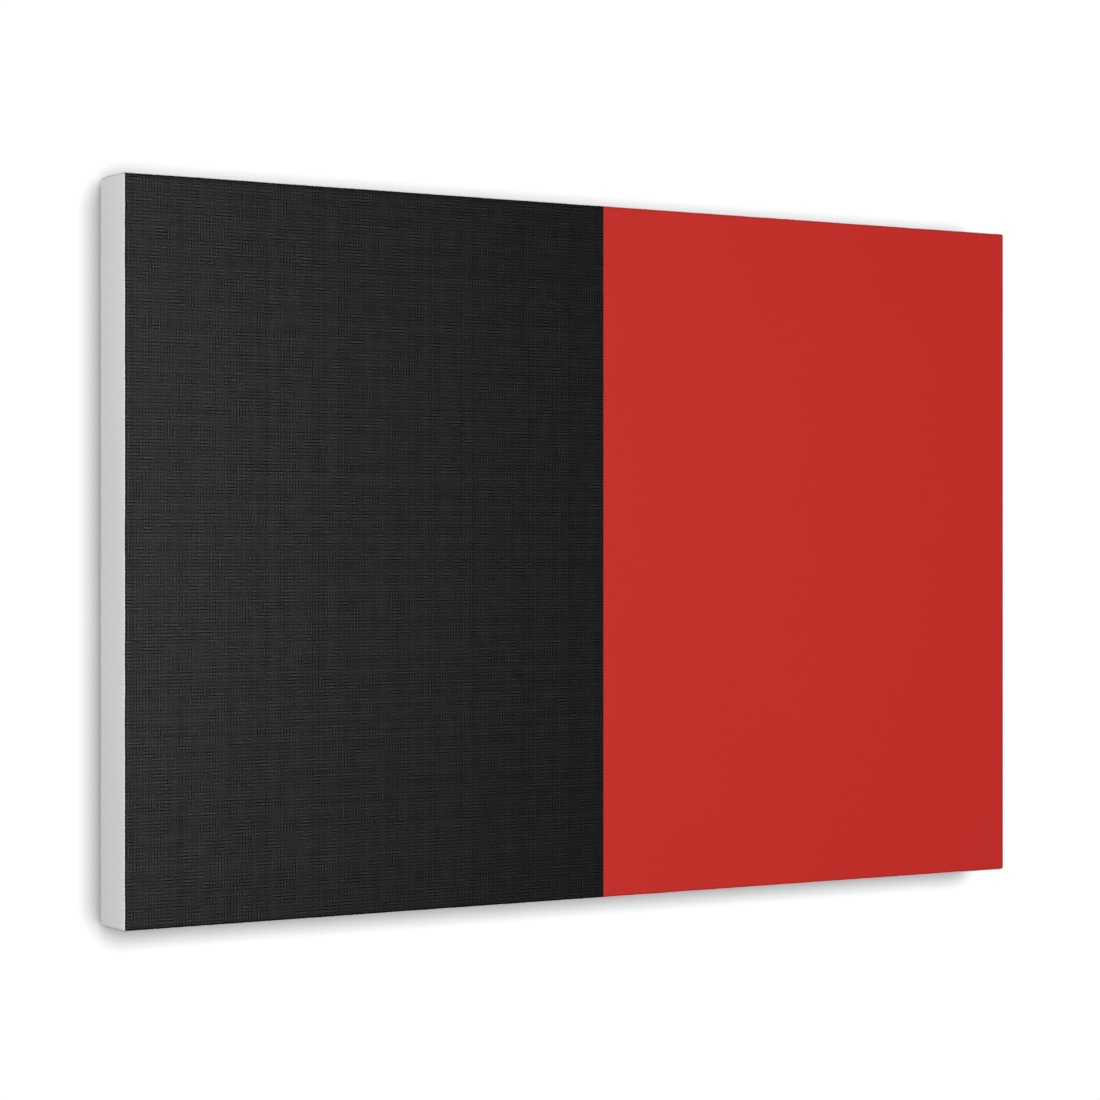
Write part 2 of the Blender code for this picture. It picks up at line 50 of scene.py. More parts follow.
# ---- where the frame is ----

CANVAS_LOW, CANVAS_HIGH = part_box("canvas")
WIDTH = CANVAS_HIGH.x - CANVAS_LOW.x
DEPTH = CANVAS_HIGH.y - CANVAS_LOW.y
HEIGHT = CANVAS_HIGH.z
HALF = WIDTH / 2
FRONT = CANVAS_LOW.y
BACK = CANVAS_HIGH.y
WOOD_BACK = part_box("stretcher_top")[1].y

# ---- cloth ----

CLOTH = 0.42 * MM
CORNER_RADIUS = 1.6 * MM  # of the upright and level edges seen end on
FRONT_RADIUS = 1.3 * MM
BACK_RADIUS = 1.2 * MM
FLAP = 22 * MM
INSETS = (12 * MM, 7 * MM, 3.5 * MM)  # rings round the front, inside its rounded edge
CORNER_COLUMNS = (11, 10, 9, 8, 7, 6, 5, 4, 3.2, 2.6, 2.2, 1.9, 1.6)  # mm from a corner
CORNER_STEPS = 4
SIDE_ROWS = 18
FLAP_ROWS = 18
ARC_ROWS = 6
FOLD = 0.6 * MM  # what a corner's folded-under cloth adds
STAPLE_INSET = 13.8 * MM
THREAD_PITCH = 0.9 * MM
LOOSE_THREADS = 4  # long ones along each side
MERGE = 0.005 * MM  # points of the sheet closer than this are one

# Each colour's dark and light threads
BLACK_INK = (0.0012, 0.0012, 0.0012), (0.0062, 0.0062, 0.0062)
RED_INK = (0.449, 0.0216, 0.0170), (0.474, 0.0237, 0.0186)
PRIMER = (0.815, 0.815, 0.812), (0.85, 0.85, 0.848)
PRIMER_STAIN = (0.79, 0.785, 0.775)
PRIMER_GLOSS = 0.25
PRIMER_ROUGHNESS = 0.8
INK_GLOSS = 0.17
INK_ROUGHNESS = 0.43
INK_SHORT = 0.3 * MM  # the ink stops this far short of the wrapped sides, along the cloth
INK_RIM = 1.3 * MM  # width of the darker, duller line where the ink ends
# Painted shade: the primer on the sides is made darker towards their back edge, where less light reaches.
SIDE_PAINTED_SHADE = 0.09  # how much darker the primer is at the back of the sides than at the front


# ================= node graphs =================


class Graph:
    """A short way to write a material's node tree."""

    def __init__(self, name):
        self.material = bpy.data.materials.new(name)
        self.material.use_nodes = True
        self.tree = self.material.node_tree
        self.shader = self.tree.nodes["Principled BSDF"]

    def node(self, kind, values=None, **settings):
        node = self.tree.nodes.new(kind)
        for name, value in settings.items():
            setattr(node, name, value)
        for key, value in (values or {}).items():
            self.put(node.inputs[key], value)
        return node

    def put(self, socket, value):
        if isinstance(value, bpy.types.NodeSocket):
            self.tree.links.new(value, socket)
        elif socket.type == "RGBA" and len(value) == 3:
            socket.default_value = (*value, 1)
        else:
            socket.default_value = value

    def set(self, **inputs):
        for name, value in inputs.items():
            self.put(self.shader.inputs[name.replace("_", " ")], value)

    def math(self, operation, *values):
        node = self.node("ShaderNodeMath", operation=operation)
        for socket, value in zip(node.inputs, values):
            self.put(socket, value)
        return node.outputs[0]

    def add(self, a, b):
        return self.math("ADD", a, b)

    def mul(self, a, b):
        return self.math("MULTIPLY", a, b)

    def distance(self, a, b):
        return self.math("SQRT", self.add(self.mul(a, a), self.mul(b, b)))

    def centred(self, share, width):
        """The share moved to a range about zero."""
        return self.mul(self.add(share, -0.5), width)

    def scaled(self, value, low, high, to_low=0.0, to_high=1.0):
        """The value's share of one range, moved to another and kept inside it."""
        node = self.node("ShaderNodeMapRange", {0: value, 1: low, 2: high, 3: to_low, 4: to_high})
        return node.outputs[0]

    def mix(self, share, a, b):
        node = self.node("ShaderNodeMix", data_type="RGBA")
        self.put(node.inputs["Factor"], share)
        self.put(node.inputs[6], a)
        self.put(node.inputs[7], b)
        return node.outputs[2]

    def vector(self, x, y, z):
        return self.node("ShaderNodeCombineXYZ", {0: x, 1: y, 2: z}).outputs[0]

    def parts(self, vector):
        return self.node("ShaderNodeSeparateXYZ", {0: vector}).outputs

    def stretch(self, vector, scale):
        node = self.node("ShaderNodeVectorMath", {0: vector, 1: scale}, operation="MULTIPLY")
        return node.outputs[0]

    def noise(self, vector, scale, detail=2.0, roughness=0.5, colour=False):
        values = {"Vector": vector, "Scale": scale, "Detail": detail, "Roughness": roughness}
        node = self.node("ShaderNodeTexNoise", values)
        return node.outputs["Color" if colour else "Fac"]

    def bump(self, height, distance, strength):
        values = {"Height": height, "Distance": distance, "Strength": strength}
        return self.node("ShaderNodeBump", values).outputs[0]

    def random(self, value):
        """A random share of its own for each value."""
        return self.node("ShaderNodeTexWhiteNoise", {"W": value}, noise_dimensions="1D").outputs["Value"]

    def place(self):
        return self.node("ShaderNodeTexCoord").outputs["Object"]


def thread_lines(graph, across, along, seed):
    """Dark lines between every two threads, broken into uneven dashes: painted shade in the grooves. They
    average about zero.
    """
    index = graph.math("FLOOR", graph.add(graph.mul(across, 0.5), 0.5))
    path = graph.vector(graph.mul(index, 3.7), graph.mul(along, 0.15), seed)
    dash = graph.scaled(graph.noise(path, 1.0, 2), 0.43, 0.62)
    slub = graph.scaled(graph.noise(graph.stretch(path, (5.3, 0.5, 1)), 1.0, 1), 0.35, 0.65, 0.35, 1.35)
    wave = graph.math("COSINE", graph.mul(across, math.pi))
    furrow = graph.math("POWER", graph.scaled(wave, -1, 1, 1, 0), 2)
    return graph.mul(graph.mul(dash, slub), graph.add(graph.mul(furrow, -1.8), 0.66))


def thread_level(graph, across, seed):
    """A level of its own for each thread."""
    return graph.random(graph.add(graph.math("FLOOR", across), seed))


def weave(graph):
    """A plain weave in the cloth's own flat coordinates, as its height and its threads' tone, with painted
    shade in its grooves.
    """
    cloth = graph.node("ShaderNodeUVMap", uv_map="cloth").outputs[0]
    uv = graph.parts(cloth)
    drift = graph.centred(graph.noise(cloth, 16.0, 2), 0.35)
    across = graph.add(graph.math("DIVIDE", uv[0], THREAD_PITCH), drift)
    up = graph.add(graph.math("DIVIDE", uv[1], THREAD_PITCH), graph.mul(drift, -0.8))
    sine_a = graph.math("SINE", graph.mul(across, math.pi))
    sine_b = graph.math("SINE", graph.mul(up, math.pi))
    both = graph.mul(sine_a, sine_b)
    warp = graph.add(graph.math("ABSOLUTE", sine_a), both)
    weft = graph.math("SUBTRACT", graph.math("ABSOLUTE", sine_b), both)
    own_warp = thread_level(graph, across, 3.0)
    own_weft = thread_level(graph, up, 40.0)
    warp = graph.mul(warp, graph.scaled(own_warp, 0, 1, 0.38, 0.6))
    weft = graph.mul(weft, graph.scaled(own_weft, 0, 1, 0.38, 0.6))
    height = graph.math("MAXIMUM", warp, weft)
    patch = graph.noise(cloth, 60.0, 2)
    # Painted shade: dashed dark lines in the grooves, upright and level.
    upright = graph.mul(thread_lines(graph, across, up, 3.0), graph.scaled(patch, 0.35, 0.6, 0.1, 1))
    level = graph.mul(thread_lines(graph, up, across, 40.0), graph.scaled(patch, 0.5, 0.7, 1, 0.45))
    lines = graph.add(graph.mul(upright, 0.45), graph.mul(level, 0.55))
    lines = graph.mul(lines, graph.scaled(graph.noise(cloth, 90.0, 3), 0.38, 0.62, 0.6, 1.3))
    own = graph.mul(graph.add(own_warp, own_weft), 0.08)
    cloud = graph.mul(graph.noise(cloth, 130.0, 3), 0.3)
    return cloth, height, graph.add(graph.add(own, cloud), graph.add(lines, 0.27))


def printed_material():
    """Primed cloth: near-black and red ink on the front, bare white round the sides."""
    graph = Graph("canvas_print")
    cloth, height, tone = weave(graph)
    uv = graph.parts(cloth)
    bleed = graph.centred(graph.noise(cloth, 900.0, 3), 0.5 * MM)
    swing = graph.centred(graph.noise(cloth, 40.0, 2), 0.5 * MM)
    spread = graph.add(bleed, swing)
    middle = HEIGHT / 2
    soft = 0.25 * MM  # half the width in which the ink's edge fades
    edge_x = HALF - INK_SHORT
    edge_z = middle - INK_SHORT
    left = graph.math("ABSOLUTE", graph.add(uv[0], spread))
    up = graph.math("ABSOLUTE", graph.add(graph.add(uv[1], -middle), spread))
    inside_x = graph.scaled(left, edge_x - soft, edge_x + soft, 1.0, 0.0)
    inside_z = graph.scaled(up, edge_z - soft, edge_z + soft, 1.0, 0.0)
    ink = graph.mul(inside_x, inside_z)
    rim_x = graph.scaled(left, edge_x - INK_RIM, edge_x - INK_RIM / 2)
    rim_z = graph.scaled(up, edge_z - INK_RIM, edge_z - INK_RIM / 2)
    rim = graph.math("MAXIMUM", rim_x, rim_z)
    red_side = graph.scaled(graph.add(uv[0], bleed), -0.12 * MM, 0.12 * MM)

    shade = graph.scaled(tone, 0.1, 0.9)
    blotch = graph.noise(cloth, 14.0, 4, 0.6)
    black = graph.mix(shade, *BLACK_INK)
    red = graph.mix(graph.add(graph.mul(shade, 0.5), graph.mul(blotch, 0.5)), *RED_INK)
    print_colour = graph.mix(red_side, black, red)
    print_colour = graph.mix(graph.mul(rim, 0.15), print_colour, (0, 0, 0))
    white = graph.mix(shade, *PRIMER)
    white = graph.mix(graph.scaled(blotch, 0.45, 0.75, 0, 0.25), white, PRIMER_STAIN)
    # Painted shade: the sides' primer darkens from the front towards the back edge.
    depth = graph.parts(graph.place())[1]
    white = graph.mix(graph.scaled(depth, FRONT, BACK, 0.0, SIDE_PAINTED_SHADE), white, (0, 0, 0))
    graph.set(Base_Color=graph.mix(ink, white, print_colour))

    crown = graph.scaled(height, 0.25, 0.95)
    black_gloss = graph.add(graph.mul(shade, 1.15), graph.add(graph.mul(crown, 0.2), 0.07))
    gloss = graph.add(graph.mul(black_gloss, graph.scaled(red_side, 0, 1, 1.0, 0.12)),
                      graph.scaled(red_side, 0, 1, 0.0, 0.45))
    rough = graph.add(graph.centred(blotch, 0.06), INK_ROUGHNESS)
    rough = graph.mul(ink, graph.add(rough, -PRIMER_ROUGHNESS))
    graph.set(Roughness=graph.add(rough, PRIMER_ROUGHNESS))
    gloss = graph.mul(gloss, graph.scaled(rim, 0, 1, 1.0, 0.3))
    level = graph.mul(ink, graph.add(graph.mul(gloss, INK_GLOSS), -PRIMER_GLOSS))
    graph.set(Specular_IOR_Level=graph.add(level, PRIMER_GLOSS))
    graph.set(Normal=graph.bump(height, 0.09 * MM, 0.4))
    return graph.material


def raw_material(name, weave_depth):
    """Bare cotton: warm, plainer threads with flecks of seed."""
    graph = Graph(name)
    if weave_depth:
        cloth, height, tone = weave(graph)
        graph.set(Normal=graph.bump(height, 0.16 * MM, weave_depth))
    else:
        cloth = graph.place()
        height = tone = graph.noise(cloth, 2500.0, 2)
    shade = graph.scaled(tone, 0.2, 0.8)
    colour = graph.mix(shade, (0.63, 0.575, 0.47), (0.78, 0.74, 0.65))
    # Darker where the weave lies low: painted shade in the gaps between threads. For thread ends the height
    # is plain noise, so there it is a random tone.
    colour = graph.mix(graph.scaled(height, 0.1, 0.6, 0.4, 0.0), colour, (0.44, 0.39, 0.30))
    stain = graph.scaled(graph.noise(cloth, 22.0, 4, 0.65), 0.5, 0.72, 0.0, 0.35)
    colour = graph.mix(stain, colour, (0.66, 0.63, 0.57))
    fleck = graph.scaled(graph.noise(graph.stretch(cloth, (1, 0.6, 1)), 420.0, 2), 0.72, 0.76)
    colour = graph.mix(graph.mul(fleck, 0.6), colour, (0.30, 0.21, 0.12))
    graph.set(Base_Color=colour, Roughness=0.92, Specular_IOR_Level=0.2)
    graph.set(Sheen_Weight=0.15, Sheen_Roughness=0.5)
    return graph.material


# ================= mesh helpers =================


def object_from(name, vertices, faces, materials, uv=None, smooth=True):
    mesh = bpy.data.meshes.new(name)
    mesh.from_pydata([tuple(v) for v in vertices], [], faces)
    for material in materials:
        mesh.materials.append(material)
    if uv is not None:
        layer = mesh.uv_layers.new(name="cloth")
        loops = np.empty(len(mesh.loops), np.int32)
        mesh.loops.foreach_get("vertex_index", loops)
        layer.data.foreach_set("uv", np.asarray(uv, np.float32)[loops].ravel())
    if smooth:
        mesh.shade_smooth()
    obj = bpy.data.objects.new(name, mesh)
    bpy.context.scene.collection.objects.link(obj)
    return obj


def grid_faces(columns, rows, wrap=False):
    """Quads between a grid's vertices, numbered column by column."""
    faces = []
    for i in range(columns if wrap else columns - 1):
        a, b = i * rows, (i + 1) % columns * rows
        for j in range(rows - 1):
            faces.append((a + j, b + j, b + j + 1, a + j + 1))
    return faces


def tube_faces(rings, sides, closed=False):
    """Quads along a stack of rings of vertices, with both ends covered unless it closes on itself."""
    faces = []
    for i in range(rings if closed else rings - 1):
        a, b = i * sides, (i + 1) % rings * sides
        for k in range(sides):
            faces.append((a + k, a + (k + 1) % sides, b + (k + 1) % sides, b + k))
    if not closed:
        faces.append(tuple(reversed(range(sides))))
        faces.append(tuple(range((rings - 1) * sides, rings * sides)))
    return faces


def circle(radius, sides):
    angles = [2 * math.pi * k / sides for k in range(sides)]
    return [(radius * math.cos(angle), radius * math.sin(angle)) for angle in angles]


def sweep(path, section, scales=None, twist=0.0, closed=False):
    """Vertices and faces of a section carried along a path, turned by twist at each point."""
    path = [Vector(point) for point in path]
    count = len(path)
    vertices = []
    normal = (path[1] - path[0]).orthogonal().normalized()
    for i, point in enumerate(path):
        if closed:
            ahead = path[(i + 1) % count] - path[i - 1]
        else:
            ahead = path[min(i + 1, count - 1)] - path[max(i - 1, 0)]
        tangent = ahead.normalized()
        normal = (normal - tangent * normal.dot(tangent)).normalized()
        turned = Matrix.Rotation(twist * i, 3, tangent) @ normal
        binormal = tangent.cross(turned)
        scale = scales[i] if scales else 1.0
        vertices += [point + (turned * u + binormal * v) * scale for u, v in section]
    return vertices, tube_faces(count, len(section), closed)


def dress(obj, body="frame"):
    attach(obj, body)


# ================= the cloth =================


def profile():
    """The cloth's section from the front's inner ring to the raw edge: (inset, y, arc length, normal).

    Inset runs inward from the wrap's outer plane, and arc length is the distance along the cloth
    outward from that plane's line on the front.
    """
    rows = [(inset, FRONT, -inset, (0.0, -1.0)) for inset in INSETS]
    arc = -FRONT_RADIUS
    for i in range(ARC_ROWS + 1):
        angle = math.pi / 2 * i / ARC_ROWS
        s, c = math.sin(angle), math.cos(angle)
        place = (FRONT_RADIUS * (1 - s), FRONT + FRONT_RADIUS * (1 - c))
        rows.append((*place, arc + FRONT_RADIUS * angle, (s, -c)))
    arc += FRONT_RADIUS * math.pi / 2
    reach = DEPTH - FRONT_RADIUS - BACK_RADIUS
    for i in range(1, SIDE_ROWS + 1):
        share = i / SIDE_ROWS
        rows.append((0.0, FRONT + FRONT_RADIUS + reach * share, arc + reach * share, (1.0, 0.0)))
    arc += reach
    for i in range(1, ARC_ROWS + 1):
        angle = math.pi / 2 * i / ARC_ROWS
        s, c = math.sin(angle), math.cos(angle)
        place = (BACK_RADIUS * (1 - c), BACK - BACK_RADIUS * (1 - s))
        rows.append((*place, arc + BACK_RADIUS * angle, (c, s)))
    arc += BACK_RADIUS * math.pi / 2
    reach = FLAP - BACK_RADIUS
    for i in range(1, FLAP_ROWS + 1):
        share = i / FLAP_ROWS
        rows.append((BACK_RADIUS + reach * share, BACK, arc + reach * share, (0.0, 1.0)))
    return rows


def stations(half, staples):
    """Places along a side, closer together near its corners and its staples."""
    reach = half - INSETS[0]
    places = [-reach]
    while places[-1] < reach:
        place = places[-1]
        corner = half - abs(place)
        near = min(abs(place + 1.5 * MM - staple) for staple in staples)
        if corner < 42 * MM:
            step = 1.2 if corner < 25 * MM else 2.2
        else:
            step = 3 if near < 10 * MM else 6
        places.append(place + step * MM)
    middle = (places[0] + places[-1]) / 2
    return [(place - middle) * reach / (places[-1] - middle) for place in places]


def outline(xs, zs):
    """Columns round the wrap seen from the front: (corner centre or None, x, z, outward x, z)."""
    around = []
    inner_x, inner_z = HALF - CORNER_RADIUS, HEIGHT / 2 - CORNER_RADIUS

    def full(places, half):
        ends = [half - distance * MM for distance in CORNER_COLUMNS]
        return [-end for end in reversed(ends)] + places + ends

    def corner(cx, cz, start):
        for i in range(1, CORNER_STEPS):
            angle = start - math.pi / 2 * i / CORNER_STEPS
            n = (math.cos(angle), math.sin(angle))
            around.append(((cx, cz), cx + CORNER_RADIUS * n[0], cz + CORNER_RADIUS * n[1], *n))

    along_x, along_z = full(xs, HALF), full(zs, HEIGHT / 2)
    around += [(None, x, HEIGHT / 2, 0.0, 1.0) for x in along_x]
    corner(inner_x, inner_z, math.pi / 2)
    around += [(None, HALF, z, 1.0, 0.0) for z in reversed(along_z)]
    corner(inner_x, -inner_z, 0.0)
    around += [(None, x, -HEIGHT / 2, 0.0, -1.0) for x in reversed(along_x)]
    corner(-inner_x, -inner_z, -math.pi / 2)
    around += [(None, -HALF, z, -1.0, 0.0) for z in along_z]
    corner(-inner_x, inner_z, math.pi)
    return around


def keep_inside(x, z, inset):
    limit_x, limit_z = HALF - inset, HEIGHT / 2 - inset
    return min(max(x, -limit_x), limit_x), min(max(z, -limit_z), limit_z)


def tray_point(column, inset):
    """Where a column of the outline lies at an inset, so that corners close to a point and then mitre."""
    centre, x, z, nx, nz = column
    if centre is not None:
        if inset < CORNER_RADIUS:
            return centre[0] + (CORNER_RADIUS - inset) * nx, centre[1] + (CORNER_RADIUS - inset) * nz
        return keep_inside(x, z, inset)
    return keep_inside(x - inset * nx, z - inset * nz, inset)


def ease(value, low, high):
    share = min(max((value - low) / (high - low), 0.0), 1.0)
    return share * share * (3 - 2 * share)


def ripple(place, rate, seed):
    """Smooth noise along a line, about -0.5 to 0.5, at so many waves a metre."""
    return noise.noise((place * rate, seed * 7.3, 0.37))


def staple_rows():
    """Where the staples stand along each side, by the side's outward direction."""
    rows = {}
    for side, nx, nz in (("top", 0, 1), ("bottom", 0, -1), ("left", -1, 0), ("right", 1, 0)):
        middles = []
        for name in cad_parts:
            if name.startswith(f"staple_{side}_"):
                low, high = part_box(name)
                middle = (low + high) / 2
                middles.append(middle.x if nz else middle.z - HEIGHT / 2)
        rows[(nx, nz)] = sorted(middles)
    return rows


STAPLES = staple_rows()
RING_LOW, RING_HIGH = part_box("d_ring_left")
RING_MIDDLE = RING_LOW.z - HEIGHT / 2  # the hinge, from mid-height


def fold_height(s, t):
    """What the cloth folded under at a corner adds, s from the corner and t from the front."""
    return FOLD * ease(s, 1.9 * MM, 2.6 * MM) * ease(t - s, -1 * MM, 1.5 * MM)


def flap_height(side, along, inset, s):
    """How far the turned-over cloth stands off: pressed at its staples, loose between them."""
    seed = side[0] * 2 + side[1] * 5
    staple = min(STAPLES[side], key=lambda place: abs(place - along))
    offset = along - staple
    near = math.hypot(offset, inset - STAPLE_INSET)
    fade = ease(s - inset, 0.0, 14 * MM)
    if side[0]:
        fade *= 0.2 + 0.8 * ease(abs(along - RING_MIDDLE), 22 * MM, 36 * MM)
    swell = (0.6 + 0.8 * ripple(along, 31, seed)) * ease(inset, 1.5 * MM, 9 * MM)
    flutter = (0.4 + 1.3 * ripple(along, 62, seed + 1)) * ease(inset, 14 * MM, FLAP)
    spread = math.exp(-((offset / (12 * MM)) ** 2))
    crease = 0.28 * math.cos(2 * math.pi * offset / (8.5 * MM)) * spread
    crease *= ease(inset, 0.0, 6 * MM) * (1 - ease(inset, 11 * MM, 17 * MM))
    loose = 1 - math.exp(-((near / (8 * MM)) ** 2))
    pressed = 0.24 * math.exp(-((near / (5 * MM)) ** 2))
    return max(fade * (pressed + loose * (swell + flutter + crease)), -0.25) * MM


def side_height(side, along, share):
    """The faint scallops that the staples pull into the wrapped sides."""
    staple = min(STAPLES[side], key=lambda place: abs(place - along))
    pull = math.exp(-(((along - staple) / (11 * MM)) ** 2))
    seed = side[0] * 3 + side[1] * 4
    return (0.12 * ripple(along, 24, seed) - 0.11 * pull) * math.sin(math.pi * share) * MM


def edge_drift(side, along, s):
    """How far the cut edge wanders from its line."""
    seed = side[0] * 4 + side[1] * 9
    wander = 1.3 * ripple(along, 22, seed) + 0.7 * ripple(along, 110, seed + 2)
    return wander * MM * ease(s - FLAP, 0.0, 10 * MM)


def wrap_point(column, row):
    """A point of the wrapped cloth and its flat coordinates."""
    _, bx, bz, nx, nz = column
    inset, y, arc, (out, back) = row
    x, z = tray_point(column, max(inset, 0.0))
    across = abs(nz) > abs(nx)
    along, s = (x, HALF - abs(x)) if across else (z, HEIGHT / 2 - abs(z))
    side = (0, round(nz)) if across else (round(nx), 0)
    t = y - FRONT
    lift = 0.0
    on_back = inset >= BACK_RADIUS and back == 1.0
    if on_back:
        drift = edge_drift(side, along, s) * ease(inset, 12 * MM, FLAP)
        lift = flap_height(side, along, inset, s)
        x, z = (x, z - nz * drift) if across else (x - nx * drift, z)
        arc += drift
    straight = column[0] is None
    if straight and out > 0:
        lift += side_height(side, along, t / DEPTH) * ease(s, 5 * MM, 15 * MM)
    if straight and across:
        lift += fold_height(s, t + (inset if on_back else 0.0))
    place = (x + nx * out * lift, y + back * lift, z + nz * out * lift + HEIGHT / 2)
    flat = (x, bz + nz * arc) if across else (bx + nx * arc, z)
    return place, (flat[0], flat[1] + HEIGHT / 2)


def make_canvas():
    """One sheet: front, rounded edges, wrapped sides, folded corners and the turned-over back."""
    xs = stations(HALF, STAPLES[(0, 1)])
    zs = stations(HEIGHT / 2, STAPLES[(1, 0)])
    rows = profile()
    columns = outline(xs, zs)
    pairs = [wrap_point(column, row) for column in columns for row in rows]
    faces = grid_faces(len(columns), len(rows), wrap=True)
    start = len(pairs)
    middle = HEIGHT / 2
    pairs += [((x, FRONT, z + middle), (x, z + middle)) for x in xs for z in zs]
    faces += [tuple(start + i for i in reversed(face)) for face in grid_faces(len(xs), len(zs))]
    obj = object_from("canvas_cloth", [p for p, _ in pairs], faces, [], [f for _, f in pairs])
    bm = bmesh.new()
    bm.from_mesh(obj.data)
    bmesh.ops.remove_doubles(bm, verts=bm.verts, dist=MERGE)
    bmesh.ops.dissolve_degenerate(bm, edges=bm.edges, dist=MERGE)
    bmesh.ops.recalc_face_normals(bm, faces=bm.faces)
    bm.to_mesh(obj.data)
    bm.free()
    obj.data.set_sharp_from_angle(angle=math.radians(50))  # the folded corners' edges
    obj.data.materials.append(printed_material())
    obj.data.materials.append(raw_material("canvas_raw", weave_depth=0.7))
    solid = obj.modifiers.new("cloth", "SOLIDIFY")
    solid.thickness = CLOTH
    solid.offset = -1
    solid.material_offset = 1
    solid.material_offset_rim = 1
    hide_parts("canvas")
    dress(obj)


# ================= frayed threads =================


def edge_root(side, along):
    """Where a thread leaves the cut edge, in the middle of the cloth's thickness."""
    half = HEIGHT / 2 if side[1] else HALF
    s = (HALF if side[1] else HEIGHT / 2) - abs(along)
    inset = FLAP + edge_drift(side, along, s) - 0.4 * MM
    y = BACK + flap_height(side, along, FLAP, s) - CLOTH / 2
    if side[1]:
        return Vector((along, y, HEIGHT / 2 + side[1] * (half - inset)))
    return Vector((side[0] * (half - inset), y, HEIGHT / 2 + along))


def make_fringe():
    """Thread ends along the cut edges, and a few long ones that have pulled loose."""
    vertices, faces = [], []

    def add_thread(root, inward, sideways, length, radius, curl, steps):
        points, heading = [root], 0.0
        for i in range(steps):
            heading += RNG.normal(0, curl)
            step = inward * math.cos(heading) + sideways * math.sin(heading)
            point = points[-1] + step * (length / steps)
            floor = WOOD_BACK + radius + 0.05 * MM
            point.y = max(floor, point.y + RNG.normal(-0.08, 0.1) * MM)
            points.append(point)
        new_vertices, new_faces = sweep(points, circle(radius, 4), [1.0] * steps + [0.5])
        faces.extend(tuple(len(vertices) + i for i in face) for face in new_faces)
        vertices.extend(new_vertices)

    for side in STAPLES:
        inward = Vector((-side[0], 0, -side[1]))
        sideways = Vector((side[1], 0, -side[0]))
        reach = (HALF if side[1] else HEIGHT / 2) - FLAP - 2 * MM
        along = -reach
        while along < reach:
            along += THREAD_PITCH * RNG.choice([1, 1, 1, 2, 3])
            length = RNG.gamma(2.6, 0.55) * MM + 0.5 * MM
            radius = RNG.uniform(0.09, 0.14) * MM
            add_thread(edge_root(side, min(along, reach)), inward, sideways, length, radius, 0.3, 3)
        for _ in range(LOOSE_THREADS):
            root = edge_root(side, RNG.uniform(-0.9, 0.9) * reach)
            length = RNG.uniform(8, 22) * MM
            add_thread(root, inward, sideways, length, 0.1 * MM, 0.42, 12)
    obj = object_from("canvas_fringe", vertices, faces, [raw_material("thread_ends", 0.0)])
    dress(obj)


# ================= wood =================


def grain_axes(graph, across):
    """The place along the grain, in depth and across the grain."""
    x, y, z = graph.parts(graph.place())
    return (x, y, z) if across else (z, y, x)


def grain(graph, axes, rate, fine, detail, roughness=0.5):
    """Noise drawn out along the grain: a rate along it and a finer one across."""
    along, y, cross = axes
    spot = graph.vector(graph.mul(along, rate), graph.mul(y, fine), graph.mul(cross, fine))
    return graph.noise(spot, 1.0, detail, roughness)


def pine_material(name, across, pith, knots, seed):
    """Sawn pine: growth rings about a pith outside the bar, fine fibres and a knot or two.

    The pith is (depth, cross) and a knot is (along, cross) in metres from the world's origin.
    """
    graph = Graph(name)
    axes = grain_axes(graph, across)
    along, y, cross = axes
    spot = graph.vector(graph.mul(along, 2.6), graph.mul(y, 9.0), graph.add(graph.mul(cross, 9.0), seed))
    sway = graph.parts(graph.noise(spot, 1.0, 2, colour=True))
    depth = graph.add(graph.add(y, -pith[0]), graph.centred(sway[0], 16 * MM))
    width = graph.add(graph.add(cross, -pith[1]), graph.centred(sway[1], 22 * MM))
    radius = graph.distance(depth, width)
    core = 0.0
    for knot_along, knot_cross, size in knots:
        long_way = graph.mul(graph.add(along, -knot_along), 0.6)
        far = graph.distance(long_way, graph.add(cross, -knot_cross))
        spread = graph.math("EXPONENT", graph.mul(far, -1 / (2.2 * size)))
        radius = graph.add(radius, graph.mul(spread, 3.2 * size))
        inside = graph.scaled(graph.add(far, graph.mul(sway[2], 1 * MM)), size, size * 0.7)
        core = graph.math("MAXIMUM", core, inside)
    rings = graph.add(graph.math("DIVIDE", radius, 2.7 * MM), graph.mul(sway[2], 2.0))
    ring = graph.math("FRACT", rings)
    year = graph.random(graph.math("FLOOR", rings))
    late = graph.mul(graph.math("POWER", ring, 2.6), graph.scaled(year, 0, 1, 0.5, 1.0))
    late = graph.mul(late, graph.scaled(ring, 0.93, 1.0, 1.0, 0.0))
    fibre = grain(graph, axes, 16.0, 1000.0, 3)
    duct = graph.scaled(grain(graph, axes, 130.0, 1500.0, 1), 0.70, 0.76)
    streak = graph.scaled(grain(graph, axes, 5.0, 170.0, 4, 0.65), 0.42, 0.68, 0.0, 0.55)
    colour = graph.mix(late, (0.74, 0.555, 0.345), (0.42, 0.235, 0.10))
    colour = graph.mix(streak, colour, (0.60, 0.40, 0.22))
    colour = graph.mix(graph.scaled(fibre, 0.35, 0.7, 0.0, 0.35), colour, (0.84, 0.68, 0.46))
    colour = graph.mix(graph.scaled(sway[2], 0.4, 0.7, 0.0, 0.25), colour, (0.66, 0.45, 0.26))
    colour = graph.mix(graph.mul(duct, 0.5), colour, (0.42, 0.25, 0.12))
    colour = graph.mix(graph.mul(core, 0.85), colour, (0.27, 0.135, 0.055))
    graph.set(Base_Color=colour, Specular_IOR_Level=0.35)
    graph.set(Roughness=graph.scaled(graph.add(fibre, graph.mul(late, -0.4)), 0, 1, 0.5, 0.78))
    height = graph.add(graph.mul(fibre, 0.6), graph.mul(late, 0.4))
    graph.set(Normal=graph.bump(height, 0.12 * MM, 0.5))
    return graph.material


